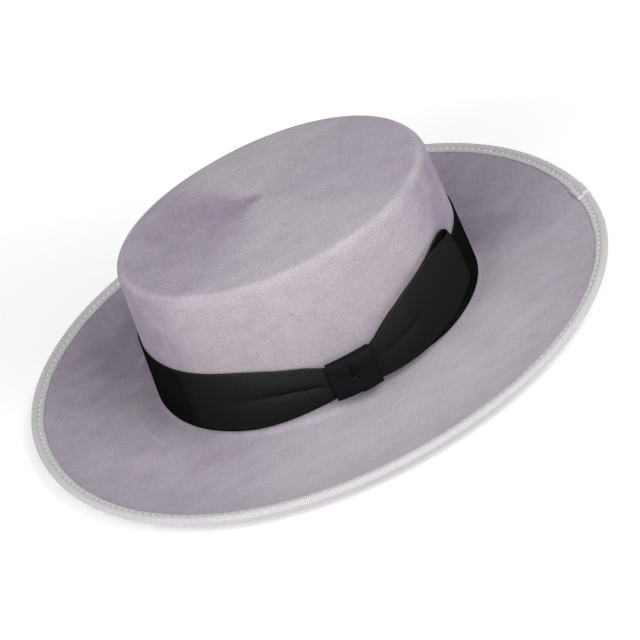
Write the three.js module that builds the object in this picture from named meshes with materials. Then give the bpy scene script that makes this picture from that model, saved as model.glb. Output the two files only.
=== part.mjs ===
// A gaucho hat: a felt body with a flat-topped crown and a wide flat brim that curls up at its edge,
// a folded ribbon binding round the brim, and a ribbon hatband with a flat bow on the wearer's left.
// Millimetres, +Z up, the origin under the middle of the brim. The front of the hat is -Y,
// the wearer's left is +X, and an angle round the hat runs from the front to the wearer's left.
import * as THREE from "three";

// Driving dimensions of the felt body
const crownLength = 210; // outside of the crown at its foot, front to back
const crownTopLength = 196; // the same at the height of the top
const lengthOverWidth = 33; // each oval of the hat is this much longer than it is wide
const ovalFullness = 2.08; // 2 is an ellipse, and more is squarer
const crownHeight = 94;
const crownEdgeRadius = 6.5;
const breakRadius = 3.2; // the hollow curve between crown and brim
const feltWall = 1.8;
const brimWidth = 79; // from the crown's foot to the felt's edge
const brimFlatWidth = 37; // the part of it that lies flat
const brimRise = 9.5; // how far the curl lifts the edge

// Driving dimensions of the ribbons
const clearance = 0.3;
const ribbonWall = 1;
const bindingWidth = 7.2; // from the hat's outer edge to the binding's free edge
const bindingLapAngle = 167.5; // the middle of the lapped join, at the back
const bindingLapLength = 14;
const bindingLapRise = 0.7;
const bandWidth = 40;
const gatherLength = 88; // the band narrows towards the knot over this length
const pleatDepth = 2.5;
const bowAngle = 80; // the middle of the knot
const knotWidth = 27; // along the band
const knotHeight = 23.5;
const knotFoot = 4.7; // the knot's lower edge over the band's
const knotLapRise = 0.7; // the knot's second turn lies on the first
const knotCorner = 1.5;
const loopLength = 98; // from the middle of the knot to the loop's folded end
const loopEndSlant = 7; // the folded end's lower corner reaches this much further

// How finely round forms are divided
const sidesRound = 80;
const cornerSteps = 4;
const curlSteps = 5;
const bandStep = 8;
const gatherStep = 5.5;
const knotSteps = 6;

const layerStep = ribbonWall + clearance;
const footHeight = feltWall + breakRadius;
const bandFoot = footHeight + clearance;
const { degToRad, lerp, smoothstep } = THREE.MathUtils;

// A point of an oval ring, from its half length, an angle round the hat and a height.
function ovalPoint(halfLength, angle, height) {
  const round = (value) => Math.sign(value) * Math.abs(value) ** (2 / ovalFullness);
  const x = (halfLength - lengthOverWidth / 2) * round(Math.sin(angle));
  return new THREE.Vector3(x, -halfLength * round(Math.cos(angle)), height);
}

// Points of an arc, from one angle to another in degrees, both ends included.
function arc(centreX, centreY, radius, from, to, steps = cornerSteps) {
  return Array.from({ length: steps + 1 }, (_, i) => {
    const angle = degToRad(lerp(from, to, i / steps));
    const x = centreX + radius * Math.cos(angle);
    return new THREE.Vector2(x, centreY + radius * Math.sin(angle));
  });
}

// A value read from a table of rows between two columns, with straight steps between the rows.
function readTable(table, column, value) {
  const next = table.findIndex((row) => row.along >= value);
  if (next <= 0) return next === 0 ? table[0][column] : table.at(-1)[column];
  const [a, b] = [table[next - 1], table[next]];
  return lerp(a[column], b[column], (value - a.along) / (b.along - a.along));
}

// A solid through sections that are closed loops of as many points, joined end to end or capped.
// The first half of a loop is one face of a strip, and the second half comes back on its other face.
function loft(sections, closed) {
  const count = sections[0].length;
  const index = [];
  const quad = (a, b, c, d) => index.push(a, b, c, a, c, d);
  const last = sections.length - 1;
  for (let i = 0; i < (closed ? sections.length : last); i++) {
    const next = (i + 1) % sections.length;
    for (let j = 0; j < count; j++) {
      const beside = (j + 1) % count;
      quad(i * count + j, next * count + j, next * count + beside, i * count + beside);
    }
  }
  for (let j = 0; !closed && j < count / 2 - 1; j++) {
    const far = count - 1 - j;
    quad(j, j + 1, far - 1, far);
    quad(last * count + j, last * count + far, last * count + far - 1, last * count + j + 1);
  }
  const geometry = new THREE.BufferGeometry().setFromPoints(sections.flat());
  geometry.setIndex(index);
  geometry.computeVertexNormals();
  return geometry;
}

// Felt body

// The crown's outer half length at a height.
function crownHalfLength(height) {
  const share = (height - footHeight) / (crownHeight - footHeight);
  return lerp(crownLength, crownTopLength, share) / 2;
}

// A point of the brim's section, so far out from the crown's foot and so far above the felt's middle.
const curlEnd = brimWidth - feltWall / 2;
function brimPoint(out, above) {
  const share = Math.max(0, (out - brimFlatWidth) / (curlEnd - brimFlatWidth));
  const slope = Math.atan((2 * brimRise * share) / (curlEnd - brimFlatWidth));
  const x = crownLength / 2 + out - above * Math.sin(slope);
  return new THREE.Vector2(x, feltWall / 2 + brimRise * share ** 2 + above * Math.cos(slope));
}

// The half round at the brim's edge, from under to over, so far from the felt's middle.
const edgeSlope = THREE.MathUtils.radToDeg(Math.atan((2 * brimRise) / (curlEnd - brimFlatWidth)));
function brimEdge(radius) {
  const middle = brimPoint(curlEnd, 0);
  return arc(middle.x, middle.y, radius, edgeSlope - 90, edgeSlope + 90);
}

function feltProfile() {
  const edgeFoot = crownHeight - crownEdgeRadius;
  const edgeCentre = crownHalfLength(edgeFoot) - crownEdgeRadius;
  const breakCentre = crownLength / 2 + breakRadius;
  const curl = Array.from({ length: curlSteps }, (_, i) => lerp(brimFlatWidth, curlEnd, i / curlSteps));
  return [
    new THREE.Vector2(0, crownHeight - feltWall),
    ...arc(edgeCentre, edgeFoot, crownEdgeRadius - feltWall, 90, 0),
    ...arc(breakCentre, footHeight, footHeight, 180, 270),
    ...curl.map((out) => brimPoint(out, -feltWall / 2)),
    ...brimEdge(feltWall / 2),
    ...curl.reverse().map((out) => brimPoint(out, feltWall / 2)),
    ...arc(breakCentre, footHeight, breakRadius, 270, 180),
    ...arc(edgeCentre, edgeFoot, crownEdgeRadius, 0, 90),
    new THREE.Vector2(0, crownHeight),
  ];
}

// The section is turned as on a lathe, and each of its rings is then made oval.
function feltBody() {
  const geometry = new THREE.LatheGeometry(feltProfile(), sidesRound);
  const position = geometry.getAttribute("position");
  for (let i = 0; i < position.count; i++) {
    const [x, height, z] = [position.getX(i), position.getY(i), position.getZ(i)];
    const radius = Math.hypot(x, z);
    const onAxis = new THREE.Vector3(0, 0, height);
    const ring = radius > 0 ? ovalPoint(radius, Math.atan2(x, z), height) : onAxis;
    position.setXYZ(i, ring.x, ring.y, ring.z);
  }
  geometry.computeVertexNormals();
  return geometry;
}

// Brim binding

// The binding's section: a strip folded round the felt's edge, thicker by so much outside.
function bindingSection(thicker) {
  const armStart = curlEnd - (bindingWidth - feltWall / 2 - layerStep);
  const inside = feltWall / 2 + clearance;
  const outside = inside + ribbonWall + thicker;
  return [
    brimPoint(armStart, -outside),
    ...brimEdge(outside),
    brimPoint(armStart, outside),
    brimPoint(armStart, inside),
    ...brimEdge(inside).reverse(),
    brimPoint(armStart, -inside),
  ];
}

function brimBinding() {
  const edgeRadius = crownLength / 2 + brimWidth;
  const lapHalf = bindingLapLength / 2 / edgeRadius;
  const lapEnds = [-1, 1].map((side) => degToRad(bindingLapAngle) + side * lapHalf);
  const stepHalf = 0.1 * lapHalf; // each end of the lap is a steep step
  const tooNear = 4 * stepHalf; // an even station so near to a step would crowd it
  const even = Array.from({ length: sidesRound }, (_, i) => (i / sidesRound) * 2 * Math.PI);
  const stations = even
    .filter((angle) => lapEnds.every((end) => Math.abs(angle - end) > tooNear))
    .concat(lapEnds.flatMap((end) => [end - stepHalf, end + stepHalf]))
    .sort((a, b) => a - b);
  const sections = stations.map((angle) => {
    const lapped = angle > lapEnds[0] && angle < lapEnds[1];
    const section = bindingSection(lapped ? bindingLapRise : 0);
    return section.map((point) => ovalPoint(point.x, angle, point.y));
  });
  return loft(sections, true);
}

// Places on the crown wall, where every part of the band and bow is laid out

// Arc lengths round the crown's foot, from the front.
const arcSteps = 720;
const footArc = [0];
for (let i = 1; i <= arcSteps; i++) {
  const [a, b] = [i - 1, i].map((step) => ovalPoint(crownLength / 2, (step / arcSteps) * 2 * Math.PI, 0));
  footArc.push(footArc[i - 1] + a.distanceTo(b));
}
const footGirth = footArc[arcSteps];
const bowArc = footArc[Math.round((bowAngle / 360) * arcSteps)];

// The angle round the hat at a distance along the band from the middle of the bow.
function angleAt(along) {
  const wanted = THREE.MathUtils.euclideanModulo(bowArc + along, footGirth);
  const next = Math.max(1, footArc.findIndex((length) => length >= wanted));
  const share = (wanted - footArc[next - 1]) / (footArc[next] - footArc[next - 1]);
  return ((next - 1 + share) / arcSteps) * 2 * Math.PI;
}

// A point by its distance along the band, its height over the band's foot and its distance off the felt.
function onWall(along, up, off) {
  const height = bandFoot + up;
  return ovalPoint(crownHalfLength(height) + off, angleAt(along), height);
}

// How far off the felt the middle of a ribbon layer lies, where layer 0 lies on the felt.
const layerOff = (layer) => clearance + ribbonWall / 2 + layer * layerStep;

const knotHalf = knotWidth / 2;
// The gathered ribbon inside the knot, between its lower and upper turns.
const gatheredFoot = knotFoot + layerStep;
const gatheredTop = knotFoot + knotHeight - layerStep;

// Five points across a ribbon with one crease: its two edges, the crease and the fold on each side of it.
function acrossPleat(crease) {
  const folds = [0, crease / 2, crease, (1 + crease) / 2, 1];
  return folds.map((share, i) => ({ share, swell: i % 2 }));
}

// Hatband

// Where the band is gathered. along: from 0 at the knot's side to 1 where the gathers end. spread: from 0,
// as narrow as in the knot, to 1, full width. crease: its place, as a share of the width.
// swell: how far the folds stand out, as a share of pleatDepth.
const gather = [
  { along: 0, spread: 0, crease: 0.42, swell: 0.3 },
  { along: 0.15, spread: 0.31, crease: 0.5, swell: 0.8 },
  { along: 0.33, spread: 0.57, crease: 0.53, swell: 0.8 },
  { along: 0.48, spread: 0.78, crease: 0.52, swell: 0.6 },
  { along: 0.64, spread: 0.93, crease: 0.51, swell: 0.35 },
  { along: 0.8, spread: 0.99, crease: 0.5, swell: 0.15 },
  { along: 1, spread: 1, crease: 0.5, swell: 0 },
];

function bandSection(along) {
  const share = (Math.abs(along) - knotHalf) / (gatherLength - knotHalf);
  const spread = readTable(gather, "spread", share);
  const foot = lerp(gatheredFoot, 0, spread);
  const top = lerp(gatheredTop, bandWidth, spread);
  // The folds stand out on the front side only: behind the knot the bow presses the band flat.
  const foldStart = 0.3 * knotHalf; // clear of the loop's ends inside the knot
  const shown = smoothstep(-along, foldStart, knotHalf);
  const swell = shown * readTable(gather, "swell", share) * pleatDepth;
  const overKnot = 1 - smoothstep(Math.abs(along) - knotHalf, 0, knotHalf);
  const off = layerOff(overKnot);
  const face = (side) =>
    acrossPleat(readTable(gather, "crease", share)).map((point) => {
      const outward = off + point.swell * swell + (side * ribbonWall) / 2;
      return onWall(along, lerp(foot, top, point.share), outward);
    });
  return [...face(1), ...face(-1).reverse()];
}

function hatband() {
  const plainLength = footGirth - 2 * gatherLength;
  const gatherSteps = Math.round((gatherLength - knotHalf) / gatherStep);
  const stretches = [
    { from: -gatherLength, to: -knotHalf, steps: gatherSteps },
    { from: -knotHalf, to: knotHalf, steps: knotSteps },
    { from: knotHalf, to: gatherLength, steps: gatherSteps },
    { from: gatherLength, to: gatherLength + plainLength, steps: Math.round(plainLength / bandStep) },
  ];
  const places = stretches.flatMap(({ from, to, steps }) =>
    Array.from({ length: steps }, (_, i) => lerp(from, to, i / steps)),
  );
  return loft(places.map(bandSection), true);
}

// Bow loop

// How the loop spreads. along: from 0 at the knot's side to 1 at the folded end. spread: as in the band.
// lift: how far its lower edge rises, as a share of the band's width. crease and swell: as in the band.
const loopSpread = [
  { along: 0, spread: 0, lift: 0.1, crease: 0.64, swell: 0.15 },
  { along: 0.11, spread: 0.33, lift: 0.12, crease: 0.68, swell: 0.8 },
  { along: 0.22, spread: 0.59, lift: 0.15, crease: 0.7, swell: 1 },
  { along: 0.33, spread: 0.74, lift: 0.18, crease: 0.7, swell: 0.8 },
  { along: 0.44, spread: 0.85, lift: 0.21, crease: 0.68, swell: 0.5 },
  { along: 0.67, spread: 0.95, lift: 0.27, crease: 0.5, swell: 0.2 },
  { along: 0.85, spread: 0.97, lift: 0.32, crease: 0.5, swell: 0 },
  { along: 1, spread: 0.94, lift: 0.34, crease: 0.5, swell: 0 },
];

// The way of the ribbon, out along the band and back over itself. along: as above, and inside the knot a
// negative share of half its width. layer: how many ribbon layers off the felt. gape: how much further off
// its upper edge is than its lower one, in layers. swell: 1 where its folds stand out, on the outer leaf.
const loopWay = [
  { along: -1.2, layer: 2, gape: 0, swell: 0 },
  { along: 0, layer: 2, gape: 0, swell: 0 },
  { along: 0.07, layer: 1.85, gape: 0, swell: 0 },
  { along: 0.16, layer: 1.3, gape: 0, swell: 0 },
  { along: 0.25, layer: 1.05, gape: 0, swell: 0 },
  { along: 0.37, layer: 1, gape: 0, swell: 0 },
  { along: 0.49, layer: 1, gape: 0, swell: 0 },
  { along: 0.6, layer: 1, gape: 0, swell: 0 },
  { along: 0.71, layer: 1, gape: 0, swell: 0 },
  { along: 0.82, layer: 1, gape: 0, swell: 0 },
  { along: 0.93, layer: 1, gape: 0, swell: 0 },
  { along: 0.975, layer: 1.15, gape: 0, swell: 0 },
  { along: 0.995, layer: 1.6, gape: 0.3, swell: 0 },
  { along: 1, layer: 2.2, gape: 0.6, swell: 0 },
  { along: 0.993, layer: 2.8, gape: 0.9, swell: 0 },
  { along: 0.97, layer: 3.1, gape: 1.1, swell: 0 },
  { along: 0.92, layer: 3.1, gape: 1.1, swell: 0.5 },
  { along: 0.83, layer: 2.8, gape: 0.8, swell: 1 },
  { along: 0.71, layer: 2.4, gape: 0.4, swell: 1 },
  { along: 0.6, layer: 2.3, gape: 0.2, swell: 1 },
  { along: 0.49, layer: 2.4, gape: 0.2, swell: 1 },
  { along: 0.37, layer: 2.6, gape: 0.1, swell: 1 },
  { along: 0.27, layer: 2.8, gape: 0, swell: 1 },
  { along: 0.18, layer: 3, gape: 0, swell: 1 },
  { along: 0.09, layer: 3.05, gape: 0, swell: 1 },
  { along: 0, layer: 3, gape: 0, swell: 1 },
  { along: -1.2, layer: 3, gape: 0, swell: 1 },
];

// The distance along the band of a share of the loop's way.
function loopPlace(share) {
  return knotHalf + share * (share < 0 ? knotHalf : loopLength - knotHalf);
}

function bowLoop() {
  const way = loopWay.map((row) => new THREE.Vector2(loopPlace(row.along), layerOff(row.layer)));
  const sections = loopWay.map((row, i) => {
    const [before, after] = [way[Math.max(i - 1, 0)], way[Math.min(i + 1, way.length - 1)]];
    const heading = after.clone().sub(before).normalize();
    const spread = readTable(loopSpread, "spread", row.along);
    const lifted = readTable(loopSpread, "lift", row.along) * bandWidth;
    const foot = lerp(gatheredFoot, lifted, spread);
    const top = lerp(gatheredTop, bandWidth + lifted, spread);
    const swell = row.swell * readTable(loopSpread, "swell", row.along) * pleatDepth;
    const face = (side) =>
      acrossPleat(readTable(loopSpread, "crease", row.along)).map((point) => {
        const slant = Math.max(0, row.along) * (0.5 - point.share) * loopEndSlant;
        const gape = row.gape * layerStep * (point.share - 0.5);
        const half = (side * ribbonWall) / 2;
        const along = way[i].x + slant + half * heading.y;
        const off = way[i].y + gape + point.swell * swell - half * heading.x;
        return onWall(along, lerp(foot, top, point.share), off);
      });
    return [...face(-1), ...face(1).reverse()];
  });
  return loft(sections, false);
}

// Bow knot

// Across the knot, along the band. along: share of its width. layers: ribbon layers under its front.
// lapped: 1 where the second turn lies on the first.
const knotAcross = [
  { along: -0.5, layers: 1.9, lapped: 0 },
  { along: -0.3, layers: 2.6, lapped: 0 },
  { along: -0.06, layers: 3.3, lapped: 0 },
  { along: -0.04, layers: 3.3, lapped: 1 },
  { along: 0.2, layers: 3.4, lapped: 1 },
  { along: 0.5, layers: 3.4, lapped: 1 },
];

// The corners of the knot's section, from its lower front one upwards. from: where each turn begins.
const knotCorners = [
  { front: 1, upper: 0, from: -90 },
  { front: 1, upper: 1, from: 0 },
  { front: 0, upper: 1, from: 90 },
  { front: 0, upper: 0, from: 180 },
];

// The knot is a strap wound round the gathered band and the ends of the loop.
function bowKnot() {
  const [lower, upper] = [knotFoot + knotCorner, knotFoot + knotHeight - knotCorner];
  const back = clearance + knotCorner;
  const frontOf = (row) => layerOff(row.layers + 1) + ribbonWall / 2 - knotCorner;
  const section = (corner, turn) => {
    const heading = degToRad(corner.from + turn);
    const face = (radius, lapRise) =>
      knotAcross.map((row) => {
        const reach = radius + lapRise * corner.front * row.lapped;
        const off = (corner.front ? frontOf(row) : back) + reach * Math.cos(heading);
        const up = (corner.upper ? upper : lower) + reach * Math.sin(heading);
        return onWall(row.along * knotWidth, up, off);
      });
    return [...face(knotCorner - ribbonWall, 0), ...face(knotCorner, knotLapRise).reverse()];
  };
  const turns = [0, 45, 90];
  return loft(knotCorners.flatMap((corner) => turns.map((turn) => section(corner, turn))), true);
}

// Materials and the assembly

const feltCloth = new THREE.MeshStandardMaterial({ color: 0xb6aab4, roughness: 0.95, metalness: 0 });
const whiteRibbon = new THREE.MeshStandardMaterial({ color: 0xe4e2e6, roughness: 0.75, metalness: 0 });
const blackRibbon = new THREE.MeshStandardMaterial({ color: 0x202224, roughness: 0.8, metalness: 0 });

const hat = new THREE.Group();
for (const [name, geometry, material] of [
  ["felt_body", feltBody(), feltCloth],
  ["brim_binding", brimBinding(), whiteRibbon],
  ["hatband", hatband(), blackRibbon],
  ["bow_loop", bowLoop(), blackRibbon],
  ["bow_knot", bowKnot(), blackRibbon],
]) {
  const mesh = new THREE.Mesh(geometry, material.clone());
  mesh.name = name;
  hat.add(mesh);
}

export default hat;
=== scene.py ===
# %% [markdown]
# # A gaucho hat in pale felt
#
# The hat is one piece of stiff fur felt, blocked over a wooden form: a flat-topped oval crown and a
# wide brim whose edge curls up. A white ribbon is folded over the edge of the brim and stitched down,
# and a black ribbon goes round the foot of the crown and is gathered into a flat bow on the wearer's
# left. The lesson builds each piece by the rule that a hatter works to, so that a change to one
# measure changes the whole hat.
#
# Lengths are given in millimetres, as a maker would give them, and turned to Blender's metres where a
# mesh is made. The origin is under the middle of the brim, +Z goes up through the crown, -Y is the
# front of the hat and +X is the wearer's left.

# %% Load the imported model
import math

import bpy
import numpy as np
from mathutils import Matrix, Vector


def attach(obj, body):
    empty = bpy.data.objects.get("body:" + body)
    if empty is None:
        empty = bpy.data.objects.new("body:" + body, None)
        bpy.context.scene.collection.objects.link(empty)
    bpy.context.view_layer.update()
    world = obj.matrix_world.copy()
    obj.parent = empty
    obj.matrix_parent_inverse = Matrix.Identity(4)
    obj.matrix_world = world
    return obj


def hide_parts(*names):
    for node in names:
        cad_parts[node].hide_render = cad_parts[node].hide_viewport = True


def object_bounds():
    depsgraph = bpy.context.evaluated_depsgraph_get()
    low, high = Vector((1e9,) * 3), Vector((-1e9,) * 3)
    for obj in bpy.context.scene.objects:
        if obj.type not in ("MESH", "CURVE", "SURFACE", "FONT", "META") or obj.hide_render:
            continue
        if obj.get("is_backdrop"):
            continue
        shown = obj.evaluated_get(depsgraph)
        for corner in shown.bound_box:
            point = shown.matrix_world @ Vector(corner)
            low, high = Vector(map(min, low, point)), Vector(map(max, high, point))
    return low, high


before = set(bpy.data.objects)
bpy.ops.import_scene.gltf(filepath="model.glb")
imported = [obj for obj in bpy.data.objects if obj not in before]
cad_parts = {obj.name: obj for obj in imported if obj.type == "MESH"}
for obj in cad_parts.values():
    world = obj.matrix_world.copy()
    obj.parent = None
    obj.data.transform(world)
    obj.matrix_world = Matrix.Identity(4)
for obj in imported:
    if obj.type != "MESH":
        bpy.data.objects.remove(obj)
model_box = [list(corner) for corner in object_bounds()]
print("nodes of the model:", sorted(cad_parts))

# %% [markdown]
# ## Small helpers
#
# Node trees are built with one function that adds a node, sets it up and links it. Colours are
# written as the sRGB hex values that a paint chart or a screen shows, and one function turns them to
# the linear values that a renderer works with.

# %% Helpers for units, colours, nodes and lengths
MM = 0.001


def linear(hex_colour):
    """The linear colour of an sRGB hex value such as "#b8adb7"."""
    channels = [int(hex_colour[i : i + 2], 16) / 255 for i in (1, 3, 5)]
    return [c / 12.92 if c <= 0.04045 else ((c + 0.055) / 1.055) ** 2.4 for c in channels] + [1.0]


def add(tree, kind, inputs=None, **settings):
    """Adds a node to a tree. An input is a value, a node to link from, or one of its output sockets."""
    made = tree.nodes.new(kind)
    for name, value in settings.items():
        setattr(made, name, value)
    for socket, value in (inputs or {}).items():
        if isinstance(value, bpy.types.Node):
            value = value.outputs[0]
        if isinstance(value, bpy.types.NodeSocket):
            tree.links.new(value, made.inputs[socket])
        else:
            made.inputs[socket].default_value = value
    return made


def new_material(name, values):
    """A new material, its node tree and its shader, with values for the shader's own sockets."""
    made = bpy.data.materials.new(name)
    made.use_nodes = True
    shader = made.node_tree.nodes["Principled BSDF"]
    for socket, value in values.items():
        shader.inputs[socket].default_value = value
    return made, made.node_tree, shader


def show(name, mesh, material=None):
    """Puts a mesh in the scene as an object, smooth and with its material."""
    made = bpy.data.objects.new(name, mesh)
    bpy.context.scene.collection.objects.link(made)
    if material is not None:
        mesh.materials.clear()
        mesh.materials.append(material)
    mesh.shade_smooth()
    return made


def lengths_along(line):
    """How far along a line each of its points lies."""
    return np.concatenate([[0], np.cumsum(np.linalg.norm(np.diff(line, axis=0), axis=1))])


def hump(value, middle, width):
    """A soft hump of height 1."""
    return np.exp(-(((value - middle) / width) ** 2))


# %% [markdown]
# ## The camera
#
# The photograph looks down on the wearer's left side, a little from the front, with the camera
# leaning over, so that the hat seems to tip forwards. Its place and its focal length were worked out
# from the ovals of the crown and the brim. The lean is a roll of the camera about its own line of
# sight: the hat itself stands level on its brim.

# %% Camera
VIEW_AZIMUTH = 72.062
VIEW_ELEVATION = 32.974
VIEW_ROLL = -21.887
VIEW_DISTANCE = 1052.21
FOCAL_OVER_DISTANCE = 1.67221  # the focal length in pixels of a 640-pixel picture, over the distance
PICTURE_WIDTH = 640
SENSOR_WIDTH = 36
AIM_HEIGHT = 45
AIM_RIGHT, AIM_DOWN = 14.794, 30.867  # from the middle of the hat to the middle of the picture


def look_from(azimuth, elevation):
    """The direction from the hat towards a viewer, in degrees round from the front and up."""
    around, up = math.radians(azimuth), math.radians(elevation)
    level = math.cos(up)
    return Vector((math.sin(around) * level, -math.cos(around) * level, math.sin(up)))


towards_viewer = look_from(VIEW_AZIMUTH, VIEW_ELEVATION)
level_right = Vector((0, 0, 1)).cross(towards_viewer).normalized()
level_up = towards_viewer.cross(level_right)
roll = math.radians(VIEW_ROLL)
picture_right = math.cos(roll) * level_right + math.sin(roll) * level_up
picture_up = math.cos(roll) * level_up - math.sin(roll) * level_right
aim = Vector((0, 0, AIM_HEIGHT)) + AIM_RIGHT * picture_right - AIM_DOWN * picture_up

camera_data = bpy.data.cameras.new("camera")
camera_data.sensor_width = SENSOR_WIDTH
camera_data.lens = FOCAL_OVER_DISTANCE * VIEW_DISTANCE * SENSOR_WIDTH / PICTURE_WIDTH
camera_data.clip_start = 0.05
camera_data.clip_end = 20
camera = bpy.data.objects.new("camera", camera_data)
turned = Matrix((picture_right, picture_up, towards_viewer)).transposed()
camera.matrix_world = Matrix.Translation((aim + VIEW_DISTANCE * towards_viewer) * MM) @ turned.to_4x4()
bpy.context.scene.collection.objects.link(camera)
bpy.context.scene.camera = camera
print(f"lens {camera_data.lens:.1f} mm")

# %% [markdown]
# ## Light and floor
#
# The shading of the felt tells how the hat was lit. The wall of the crown is brightest in the middle
# and falls off to both sides, and the brim behind the crown is shaded on both sides too. That is the
# usual pair of softboxes, one on each side of the camera and a little higher, with a weaker one over
# the camera. A low weak light from the front fills the wall, a high one behind rims the crown, a
# faint white world fills the rest, and the pale floor throws light back up under the brim. A lamp
# with a narrow spread shines down on the floor behind the hat, and the floor glows more the further
# it is from the hat, as a white acrylic table does when it is lit from below. Both keep it white to
# the corners of the picture. One big dome of light would be simpler, but it leaves no shading.

# %% Floor
FLOOR_HALF = 14
FLOOR_DROP = 0.0004
GLOW_NEAR, GLOW_FAR = 0.26, 1.0
GLOW_FROM, GLOW_TO = 0.25, 1.6  # metres from the hat

floor_mesh = bpy.data.meshes.new("floor")
corner_signs = [(-1, -1), (1, -1), (1, 1), (-1, 1)]
floor_corners = [(x * FLOOR_HALF, y * FLOOR_HALF, -FLOOR_DROP) for x, y in corner_signs]
floor_mesh.from_pydata(floor_corners, [], [(0, 1, 2, 3)])
floor_look = {
    "Base Color": linear("#fbfafb"),
    "Roughness": 0.9,
    "Specular IOR Level": 0.1,
    "Emission Color": (1, 1, 1, 1),
}
floor_paint, tree, floor_shader = new_material("matt white studio floor", floor_look)
floor_place = add(tree, "ShaderNodeTexCoord").outputs["Object"]
from_hat = add(tree, "ShaderNodeVectorMath", {0: floor_place}, operation="LENGTH").outputs["Value"]
glow = add(tree, "ShaderNodeMapRange", {0: from_hat, 1: GLOW_FROM, 2: GLOW_TO, 3: GLOW_NEAR, 4: GLOW_FAR})
tree.links.new(glow.outputs[0], floor_shader.inputs["Emission Strength"])
floor = show("floor", floor_mesh, floor_paint)
floor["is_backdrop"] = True

# %% Lights and world
LIGHT_DISTANCE = 1.25
# name, azimuth and elevation in degrees, size in metres, power in watts
LIGHTS = [
    ("left_softbox", 31, 41, 0.8, 6.4),
    ("right_softbox", 120, 47, 0.8, 8.8),
    ("front_softbox", 68, 60, 0.7, 2.9),
    ("low_fill", 30, 8, 0.5, 1.0),
    ("high_back_light", 210, 70, 0.7, 0.8),
]
BACKDROP_PLACE = (-1.0, 0.45, 1.0)
BACKDROP_SIZE, BACKDROP_POWER, BACKDROP_SPREAD = 1.1, 7.5, 56
SKY_STRENGTH = 0.04


def round_lamp(name, size, power, place):
    """A round area lamp that the camera doesn't see. Until it is turned, it shines straight down."""
    data = bpy.data.lights.new(name, "AREA")
    data.shape = "DISK"
    data.size = size
    data.energy = power
    made = bpy.data.objects.new(name, data)
    made.location = place
    made.visible_camera = False
    bpy.context.scene.collection.objects.link(made)
    return made


for name, azimuth, elevation, size, power in LIGHTS:
    direction = look_from(azimuth, elevation)
    lamp = round_lamp(name, size, power, direction * LIGHT_DISTANCE)
    lamp.rotation_mode = "QUATERNION"
    lamp.rotation_quaternion = direction.to_track_quat("Z", "Y")
backdrop_lamp = round_lamp("backdrop_lamp", BACKDROP_SIZE, BACKDROP_POWER, BACKDROP_PLACE)
backdrop_lamp.data.spread = math.radians(BACKDROP_SPREAD)

world = bpy.data.worlds.new("white studio")
world.use_nodes = True
sky = world.node_tree.nodes["Background"]
sky.inputs["Color"].default_value = (1, 1, 1, 1)
sky.inputs["Strength"].default_value = SKY_STRENGTH
bpy.context.scene.world = world
bpy.context.scene.view_settings.view_transform = "Standard"

# %% [markdown]
# ## The measures of the hat
#
# A hatter blocks a crown over an oval form. An ellipse is nearly right, but a real form is a little
# squarer, so the ovals here are superellipses. Every oval of this hat is the same amount longer than
# it is wide, because brim and crown keep one distance from each other all the way round.

# %% Measures and the oval rule
CROWN_LENGTH = 210
CROWN_TOP_LENGTH = 196
LENGTH_OVER_WIDTH = 33
OVAL_FULLNESS = 2.08
CROWN_HEIGHT = 94
CROWN_EDGE_RADIUS = 6.5
BREAK_RADIUS = 3.2
FELT_WALL = 1.8
BRIM_WIDTH = 79
BRIM_FLAT_WIDTH = 37
BRIM_RISE = 9.5
FOOT_HEIGHT = FELT_WALL + BREAK_RADIUS
CURL_END = BRIM_WIDTH - FELT_WALL / 2


def rounded(value):
    """A sine or cosine, pushed outwards as the oval's fullness asks."""
    return np.sign(value) * np.abs(value) ** (2 / OVAL_FULLNESS)


def oval(half_length, angle, height):
    """Points of an oval ring, from half lengths, angles from the front and heights."""
    x = (half_length - LENGTH_OVER_WIDTH / 2) * rounded(np.sin(angle))
    y = -half_length * rounded(np.cos(angle))
    return np.stack(np.broadcast_arrays(x, y, height), axis=-1)


def crown_half_length(height):
    """The outside of the crown's wall at a height."""
    share = (height - FOOT_HEIGHT) / (CROWN_HEIGHT - FOOT_HEIGHT)
    return (CROWN_LENGTH + (CROWN_TOP_LENGTH - CROWN_LENGTH) * share) / 2


def brim_point(out, above):
    """Half length and height of a point so far out on the brim and so far above the felt's middle."""
    share = np.maximum(0, (out - BRIM_FLAT_WIDTH) / (CURL_END - BRIM_FLAT_WIDTH))
    slope = np.arctan(2 * BRIM_RISE * share / (CURL_END - BRIM_FLAT_WIDTH))
    half_length = CROWN_LENGTH / 2 + out - above * np.sin(slope)
    return np.stack([half_length, FELT_WALL / 2 + BRIM_RISE * share**2 + above * np.cos(slope)], axis=-1)


def arc(centre, radius, start, end, steps):
    """Points of an arc of the section, from one angle to another in degrees."""
    turn = np.radians(np.linspace(start, end, steps + 1))
    return np.stack([centre[0] + radius * np.cos(turn), centre[1] + radius * np.sin(turn)], axis=-1)


EDGE_SLOPE = math.degrees(math.atan(2 * BRIM_RISE / (CURL_END - BRIM_FLAT_WIDTH)))
WALL_LEAN = math.degrees(math.atan((CROWN_LENGTH - CROWN_TOP_LENGTH) / 2 / (CROWN_HEIGHT - FOOT_HEIGHT)))
print(f"brim edge slopes {EDGE_SLOPE:.1f} degrees, crown wall leans in {WALL_LEAN:.1f} degrees")
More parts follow.
